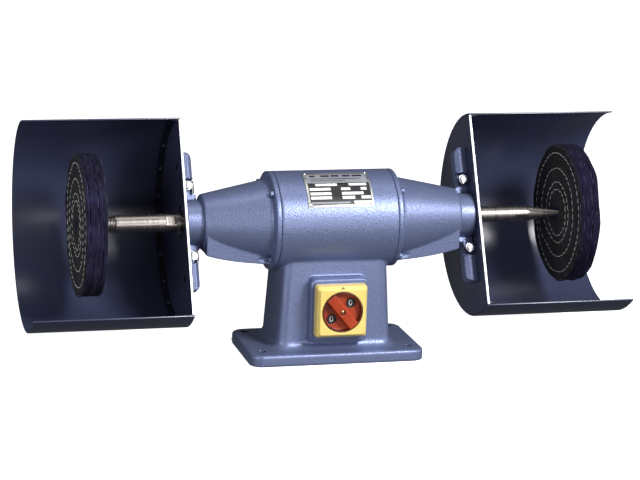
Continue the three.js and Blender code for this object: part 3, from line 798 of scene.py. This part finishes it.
def pucker(radius, angle):
    """How far the cloth is pulled in beside the sewn line."""
    part = (angle / (2 * math.pi)) % 1
    nearest = min(abs(radius - stitch_radius(ring + part)) for ring in range(len(STITCH_RINGS)))
    return 0.9 * math.exp(-(nearest / 2.4) ** 2)


def face_height(radius, angle, seed):
    swell = 0.7 * wobble(radius / 17, 2.2 * math.cos(angle), 2.2 * math.sin(angle), seed)
    return swell - pucker(radius, angle)


def mop(sign, centre, seed):
    segments = 384
    radii = [9.0] + [12 + 2.3 * i for i in range(37)]
    near, far = centre - MOP_THICKNESS / 2, centre + MOP_THICKNESS / 2
    plies = SECTIONS * PLIES
    rows = []
    for radius in radii:
        rows.append((radius, near, -1, None))
    for ply in range(plies + 1):
        for edge in (0.0, 0.5):
            if ply + edge <= plies:
                rows.append((None, near + MOP_THICKNESS * (ply + edge) / plies, 0, (ply, edge)))
    for radius in reversed(radii):
        rows.append((radius, far, 1, None))
    points = []
    for radius, x, face, ply in rows:
        for i in range(segments):
            angle = 2 * math.pi * i / segments
            cy, cz = math.cos(angle), math.sin(angle)
            if ply is None:
                height = face_height(radius, angle, seed + face)
                px, r = x + face * (height - 0.6), radius
            else:
                number, edge = ply
                section = min(number // PLIES, SECTIONS - 1)
                beside = abs((number + edge + PLIES / 2) % PLIES - PLIES / 2)
                groove = 4.6 * math.exp(-(beside / 0.8) ** 2)
                ragged = 0.7 * wobble(cy * 22, cz * 22, number * 0.9, seed)
                wave = 2.4 * wobble(cy * 2.2, cz * 2.2, section * 1.3, seed + 3)
                wave += 0.5 * wobble(cy * 7, cz * 7, section * 2.1, seed + 5)
                fray = -0.7 if edge else 0.0
                r = MOP_RADIUS - 2.0 + ragged + wave + fray - groove
                px = x + 1.8 * wobble(cy * 2.8, cz * 2.8, section * 0.8, seed + 9)
            points.append((sign * px, r * cy, r * cz))
    faces = skin(len(rows), segments)
    last = (len(rows) - 1) * segments
    for i in range(segments):
        j = (i + 1) % segments
        faces.append((last + i, last + j, j, i))
    obj = make("mop", points, faces)
    shade(obj, 50)
    obj.data.materials.append(CLOTH)
    obj.data.materials.append(RIM_CLOTH)
    for face in obj.data.polygons:
        if abs(abs(face.center.x) - centre * MM) < 13 * MM:
            face.material_index = 1
    return move(obj, shift(0, 0, AXIS))


def stitch(start, end, lift, axis_side, thickness=0.52):
    """One stitch: a flattened thread that dips into the cloth at both ends."""
    points = []
    along = (end - start).normalized()
    across = Vector((1, 0, 0)).cross(along).normalized()
    steps, ring = 6, 6
    for step in range(steps + 1):
        t = step / steps
        centre = start.lerp(end, t)
        rise = lift * math.sin(math.pi * t)
        size = thickness * (0.45 + 0.55 * math.sin(math.pi * t))
        for i in range(ring):
            angle = 2 * math.pi * i / ring
            offset = across * (size * math.cos(angle))
            offset += Vector((size * 0.7 * math.sin(angle) + axis_side * rise, 0, 0))
            points.append(tuple(centre + offset))
    return points, skin(steps + 1, ring) + caps(steps + 1, ring)


def stitching(sign, centre, seed):
    """The sewn spiral on both faces of a mop."""
    rng = random.Random(seed)
    points, faces = [], []
    for face in (-1, 1):
        turns = 0.0
        while turns < len(STITCH_RINGS) - 0.02:
            radius = stitch_radius(turns)
            length = 8.6 * rng.uniform(0.85, 1.15)
            gap = 2.2 * rng.uniform(0.8, 1.3)
            after = turns + length / (2 * math.pi * radius)
            ends = []
            for value in (turns, after):
                r, angle = stitch_radius(value), 2 * math.pi * value
                x = centre + face * (MOP_THICKNESS / 2 - 0.6 + face_height(r, angle, seed + face))
                r += 1.6 * wobble(2 * math.cos(angle), 2 * math.sin(angle), r / 9, seed + 4)
                ends.append(Vector((sign * x, r * math.cos(angle), r * math.sin(angle))))
            made, quads = stitch(*ends, 0.9, sign * face)
            base = len(points)
            points += made
            faces += [tuple(base + i for i in quad) for quad in quads]
            turns = after + gap / (2 * math.pi * radius)
    obj = make("stitching", points, faces)
    shade(obj, 60)
    return move(obj, shift(0, 0, AXIS))


def frayed_threads(sign, centre, seed):
    """Loose ends of thread that stand along the rim of each section of cloth."""
    rng = random.Random(seed + 40)
    points, faces = [], []
    for boundary in range(SECTIONS + 1):
        angle = 0.0
        while angle < 2 * math.pi:
            reach = rng.uniform(0.06, 0.2)
            radius = MOP_RADIUS - rng.uniform(2.2, 4.2)
            x = centre - MOP_THICKNESS / 2 + MOP_THICKNESS * boundary / SECTIONS
            ends = []
            for value in (angle, angle + reach):
                r = radius + rng.uniform(-0.4, 0.4)
                at_x = x + rng.uniform(-0.4, 0.4)
                ends.append(Vector((sign * at_x, r * math.cos(value), r * math.sin(value))))
            made, quads = stitch(*ends, 0.0, sign, 0.22)
            base = len(points)
            points += made
            faces += [tuple(base + i for i in quad) for quad in quads]
            angle += reach * rng.uniform(1.1, 2.6)
    obj = make("fray", points, faces)
    shade(obj, 60)
    return move(obj, shift(0, 0, AXIS))


for side_name, side_sign, mop_centre, mop_seed in (("left", -1, 343, 1), ("right", 1, 355, 2)):
    cloth_mop = finish_piece(mop(side_sign, mop_centre, mop_seed), f"{side_name}_cloth_mop",
                             "rotor", CLOTH, "mop_cloth", f"{side_name}_mop")
    finish_piece(stitching(side_sign, mop_centre, mop_seed), f"{side_name}_mop_stitching",
                 "rotor", THREAD, "mop_cloth")
    finish_piece(frayed_threads(side_sign, mop_centre, mop_seed), f"{side_name}_mop_fray",
                 "rotor", FRAY, "mop_cloth")

# ------------------------------------------------------------------ switch

SWITCH_Z = 77
KNOB_LEAN = -40
PIT_OFFSET = 17.5


def switch_case():
    def outline(shrink):
        return rounded_rectangle(36.5 - shrink, 37 - shrink, 3.5, (0, SWITCH_Z))

    body = loft("case", [(-72.1, outline(0)), (-83.9, outline(0.8)), (-89, outline(4.9))], "Y")
    cut(body, rod("well", 29, -90, -77, "Y", (0, 0, SWITCH_Z), ROUND),
        rod("shaft_hole", 4.5, -91, -71, "Y", (0, 0, SWITCH_Z)))
    return cast(body, 0.55, 2)


def switch_plate():
    body = prism("plate", rounded_rectangle(37.5, 41.5, 6, (0, SWITCH_Z - 4)), -71.8, -68.3, "Y")
    cut(body, box("window", (-25, -73, 52), (25, -67, 102)))
    return bevelled(body, 0.8, 3, 40)


def knob_place():
    return shift(0, 0, SWITCH_Z) @ turn(KNOB_LEAN, "Y")


def knob():
    """A shallow cup with a bar across it."""
    cup = rod("cup", 28.2, -89.6, -77.3, "Y", segments=ROUND)
    cut(cup, rod("hollow", 26.8, -91, -80.3, "Y", segments=ROUND))

    def outline(shrink):
        return rounded_rectangle(7.5 - shrink, 27.3 - shrink, 2.6)

    bar = loft("bar", [(-79, outline(0)), (-89.9, outline(0.3)), (-91, outline(1.3))], "Y")
    body = union(cup, bar)
    cut(body, *[rod("pit", 7.2, -82, -78.8, "Y", (x, 0, 0), 64) for x in (-PIT_OFFSET, PIT_OFFSET)],
        rod("screw_well", 4, -92, -87, "Y"), rod("stem_hole", 3.3, -92, -76, "Y"))
    cast(body, 0.42, 2)
    body.data.materials.append(RED)
    body.data.materials.append(SHADED_RED)
    # Painted shade: faces beyond 26.6 mm, the cup's outer wall, take the darker red.
    for face in body.data.polygons:
        if math.hypot(face.center.x, face.center.z) > 26.6 * MM:
            face.material_index = 1
    return body


def dial_mark(x):
    """A plain upright oval ring in a pit of the handle."""
    ring, tube = 40, 8
    points, faces = [], []
    for i in range(ring):
        angle = 2 * math.pi * i / ring
        for j in range(tube):
            round_angle = 2 * math.pi * j / tube
            reach = 0.6 * math.cos(round_angle)
            points.append(((2.1 + reach) * math.cos(angle), -79.25 + 0.3 * math.sin(round_angle),
                           (3.7 + reach) * math.sin(angle)))
    for i in range(ring):
        for j in range(tube):
            k, m = (i + 1) % ring, (j + 1) % tube
            faces.append((i * tube + j, i * tube + m, k * tube + m, k * tube + j))
    mark = make("mark", points, faces)
    move(mark, turn(-KNOB_LEAN, "Y"))
    return move(mark, shift(x, 0, 0))


def pit_floor(x):
    """The black bowl at the bottom of a pit, with a low rim."""
    bowl = turned("bowl", [(-80.7, 6.6), (-80.5, 7.1), (-79.3, 7.1), (-79.0, 0), (-79.2, 0),
                           (-79.3, 6.6)], 64)
    move(bowl, turn(90, "Z"))
    return move(bowl, shift(x, 0, 0))


def knob_screw():
    head = turned("head", [(-90.3, 0), (-90.1, 1.8), (-89.3, 3.2), (-87.9, 3.4), (-87.9, 0)], 40)
    shank = rod("shank", 1.6, -88.1, -82.1, segments=24)
    slot_cut = box("slot", (-91, -0.45, -4), (-89.5, 0.45, 4))
    head = cut(head, slot_cut)
    screw = joined("screw", [head, shank])
    return move(screw, turn(90, "Z"))


def triangle_mark():
    """A small raised pointer on the sloping top edge of the case."""
    foot = Vector((0, -88.4, SWITCH_Z + 37 - 4.4))
    along = Vector((0, 5.1, 4.1)).normalized()
    lift = Vector((0, -4.1, 5.1)).normalized()
    flat = [foot + Vector((-3, 0, 0)), foot + Vector((3, 0, 0)), foot + along * 4.6]
    points = [tuple(p + lift * 0.3) for p in flat] + [tuple(p - lift * 0.5) for p in flat]
    obj = make("triangle", points, [(0, 1, 2), (3, 5, 4), (0, 3, 4, 1), (1, 4, 5, 2), (2, 5, 3, 0)])
    return bevelled(obj, 0.1, 2, 30)


finish_piece(switch_case(), "switch_case", "stand", YELLOW, "yellow_plastic", "switch_housing")
finish_piece(triangle_mark(), "switch_pointer", "stand", POINTER, "yellow_plastic")
finish_piece(switch_plate(), "switch_mounting_plate", "stand", PAINT, "casting_paint",
             "switch_backplate")
handle = knob_place()
finish_piece(move(knob(), handle), "switch_handle_cap", "switch_handle", RED, "red_plastic",
             "switch_knob")
finish_piece(move(knob_screw(), handle), "switch_handle_screw", "switch_handle", BRASS, "zinc",
             "switch_knob_screw")
for mark_name, mark_x in (("a", -PIT_OFFSET), ("b", PIT_OFFSET)):
    floor_disc = move(pit_floor(mark_x), handle)
    shade(floor_disc, 30)
    finish_piece(floor_disc, f"switch_pit_{mark_name}", "switch_handle", BLACK, "black_plastic")
    mark = move(dial_mark(mark_x), handle)
    shade(mark, 60)
    finish_piece(mark, f"switch_mark_{mark_name}", "switch_handle", WHITE_INK, "red_plastic")

# ------------------------------------------------------------------ rating plate

PLATE_X = (-46, 47.5)
PLATE_ANGLES = (11.5, 64.3)
PLATE_RADIUS = 69.3


def curved_patch(name, u0, u1, v0, v1, low, high):
    """A patch of the plate from u0 to u1 across and v0 to v1 down, between two heights."""
    x0, x1 = (PLATE_X[0] + u * (PLATE_X[1] - PLATE_X[0]) for u in (u0, u1))
    a0, a1 = (PLATE_ANGLES[0] + v * (PLATE_ANGLES[1] - PLATE_ANGLES[0]) for v in (v0, v1))
    steps = max(2, round((a1 - a0) / 1.5))
    outline = []
    for radius, backwards in ((PLATE_RADIUS + high, False), (PLATE_RADIUS + low, True)):
        for step in (range(steps, -1, -1) if backwards else range(steps + 1)):
            angle = math.radians(a0 + (a1 - a0) * step / steps)
            outline.append((-radius * math.sin(angle), AXIS + radius * math.cos(angle)))
    return prism(name, outline, x0, x1, "X")


ROWS = (0.45, 0.57, 0.685, 0.785, 0.9)
WHITE_FIELDS = (
    ((0.15, 0.48), (0.66, 0.93)),
    ((0.05, 0.37), (0.53, 0.67), (0.83, 0.92)),
    ((0.05, 0.37), (0.53, 0.86)),
    ((0.05, 0.37), (0.53, 0.72), (0.82, 0.965)),
    ((0.7, 0.965),),
)


def plate_layout():
    """Blank fields of the rating plate in each tone, as (u0, u1, v0, v1)."""
    grey = [(0.04, 0.96, 0.05, 0.385)]
    black = [(0.035, 0.975, 0.395, 0.95)]
    marks = [(0.1, 0.18), (0.27, 0.4), (0.43, 0.55), (0.6, 0.72), (0.75, 0.9)]
    strokes = [(u0, u1, 0.125, 0.185) for u0, u1 in marks]
    strokes += [(0.05, 0.95, 0.065, 0.08), (0.1, 0.86, 0.25, 0.27), (0.1, 0.62, 0.32, 0.335)]
    white = [(u0, u1, row - 0.034, row + 0.034)
             for row, fields in zip(ROWS, WHITE_FIELDS) for u0, u1 in fields]
    bar = [(0.05, 0.64, ROWS[-1] - 0.018, ROWS[-1] + 0.018)]
    return {"grey": (GREY_INK, 0.84, grey), "black": (BLACK_INK, 0.84, black),
            "stroke": (BLACK_INK, 0.9, strokes), "white": (WHITE_INK, 0.92, white),
            "bar": (GREY_INK, 0.9, bar)}


def rating_plate():
    base = curved_patch("base", 0, 1, 0, 1, 0, 0.8)
    bevelled(base, 0.25, 2, 40)
    finish_piece(base, "rating_plate", "stand", PLATE, "nameplate_metal", "nameplate")
    for tone, (ink, height, fields) in plate_layout().items():
        patches = [curved_patch("field", *field, 0.6, height) for field in fields]
        obj = joined("fields", patches)
        shade(obj, 30)
        finish_piece(obj, f"rating_plate_{tone}_fields", "stand", ink, "nameplate_metal")


rating_plate()

# ------------------------------------------------------------------ cable gland


def cable_gland():
    stub = rod("stub", 7.6, 46.6, 58)
    nut = bevelled(rod("nut", 12, 53.3, 61, segments=6), 0.6, 3, 30)
    dome = turned("dome", [(60, 0), (60, 9.5), (68, 9.5), (71, 8.6), (73, 6.4), (73, 0)], 64)
    body = union(stub, nut, dome)
    cut(body, rod("cable_way", 6.4, 30, 78))
    ribs = [move(box("rib", (62, -0.7, 9.2), (70, 0.7, 10)), turn(number * 30, "X"))
            for number in range(12)]
    gland = joined("gland", [body, *ribs])
    shade(gland, 35)
    move(gland, turn(90, "Z"))
    return move(gland, shift(*GLAND_PLACE))


finish_piece(cable_gland(), "cable_gland_body", "stand", BLACK, "black_plastic", "cable_gland")

# ------------------------------------------------------------------ CAD nodes that stay

SLOT_MATERIALS = {
    "casting_paint": PAINT, "hood_paint": ENAMEL, "zinc": ZINC, "spindle_steel": STEEL,
    "cover_steel": SHEET, "bearing_steel": ZINC, "lamination_steel": LAMINATION,
    "winding_copper": COPPER, "seal_rubber": RUBBER, "mop_cloth": CLOTH,
    "nameplate_metal": PLATE, "yellow_plastic": YELLOW, "red_plastic": RED,
    "black_plastic": BLACK,
}
for subpart in frame["record"]["subparts"]:
    node_object = frame["nodes"][subpart["node"]]
    for material_slot in node_object.material_slots:
        material_slot.material = SLOT_MATERIALS[subpart["material_slot"]]

# ------------------------------------------------------------------ floor, light and camera


def floor():
    mesh = bpy.data.meshes.new("floor")
    size = 12
    mesh.from_pydata([(-size, -size, 0), (size, -size, 0), (size, size, 0), (-size, size, 0)], [],
                     [(0, 1, 2, 3)])
    obj = bpy.data.objects.new("floor", mesh)
    bpy.context.scene.collection.objects.link(obj)
    pale = Nodes("pale_floor", (0.9, 0.9, 0.9), 0.7)
    pale.color(pale.ramp(pale.noise(2, 2), [(0.3, (0.89, 0.89, 0.89)), (0.7, (0.92, 0.92, 0.92))]))
    pale.put("Emission Color", (1, 1, 1, 1))
    pale.put("Emission Strength", 0.92)
    obj.data.materials.append(pale.material)
    obj.visible_glossy = False
    obj.visible_diffuse = False


def area_light(name, at, target, size, power):
    light = bpy.data.lights.new(name, "AREA")
    light.shape = "RECTANGLE"
    light.size, light.size_y = size
    light.energy = power
    obj = bpy.data.objects.new(name, light)
    obj.location = at
    direction = Vector(target) - Vector(at)
    obj.rotation_euler = direction.to_track_quat("-Z", "Y").to_euler()
    bpy.context.scene.collection.objects.link(obj)


def camera():
    yaw, pitch, roll = 0.26, 0.23, 0.031
    forward = Vector((math.sin(yaw) * math.cos(pitch), math.cos(yaw) * math.cos(pitch),
                      -math.sin(pitch)))
    level = Vector((math.cos(yaw), -math.sin(yaw), 0))
    up = level.cross(forward)
    right = math.cos(roll) * level + math.sin(roll) * up
    above = math.cos(roll) * up - math.sin(roll) * level
    data = bpy.data.cameras.new("camera")
    data.sensor_width = 36
    data.lens = 2194.06 / 640 * 36
    data.clip_end = 100
    obj = bpy.data.objects.new("camera", data)
    spin = Matrix((right, above, -forward)).transposed().to_4x4()
    obj.matrix_world = Matrix.Translation((-0.7857, -2.9084, 0.8640)) @ spin
    bpy.context.scene.collection.objects.link(obj)
    bpy.context.scene.camera = obj


def studio():
    """White to the camera, dim to the object, so that the lamps shape it."""
    world = bpy.data.worlds.new("studio")
    bpy.context.scene.world = world
    world.use_nodes = True
    tree = world.node_tree
    dim = tree.nodes["Background"]
    dim.inputs["Color"].default_value = (0.85, 0.9, 1, 1)
    dim.inputs["Strength"].default_value = 0.1
    white = tree.nodes.new("ShaderNodeBackground")
    white.inputs["Strength"].default_value = 1.0
    paths = tree.nodes.new("ShaderNodeLightPath")
    mix = tree.nodes.new("ShaderNodeMixShader")
    tree.links.new(paths.outputs["Is Camera Ray"], mix.inputs["Fac"])
    tree.links.new(dim.outputs[0], mix.inputs[1])
    tree.links.new(white.outputs[0], mix.inputs[2])
    tree.links.new(mix.outputs[0], tree.nodes["World Output"].inputs["Surface"])
    area_light("key", (1.35, -2.4, 2.0), (0, 0, 0.15), (0.9, 0.9), 125)
    area_light("front", (0.3, -3.1, 0.3), (0, 0, 0.15), (1.6, 0.6), 17)
    area_light("left", (-1.9, -1.2, 0.6), (-0.3, 0, 0.15), (1.6, 1.2), 20)
    area_light("right", (2.2, -0.8, 0.45), (0.3, 0, 0.15), (1.3, 0.9), 12)
    area_light("top", (0, -0.2, 2.4), (0, 0, 0.15), (1.6, 0.7), 10)
    bpy.context.scene.view_settings.view_transform = "Standard"


def under_foot():
    """The unlit bench seen through the bolt holes of the foot."""
    mesh = bpy.data.meshes.new("under_foot")
    half_x, half_y, low = 0.122, 0.07, 0.0004
    mesh.from_pydata([(-half_x, -half_y, low), (half_x, -half_y, low),
                      (half_x, half_y, low), (-half_x, half_y, low)], [], [(0, 1, 2, 3)])
    obj = bpy.data.objects.new("under_foot", mesh)
    bpy.context.scene.collection.objects.link(obj)
    shadow = Nodes("bench_shadow", (0.03, 0.03, 0.035), 0.9)
    shadow.color(shadow.ramp(shadow.noise(60, 2), [(0.3, (0.02, 0.02, 0.025)),
                                                   (0.7, (0.04, 0.04, 0.045))]))
    obj.data.materials.append(shadow.material)


floor()
under_foot()
camera()
studio()
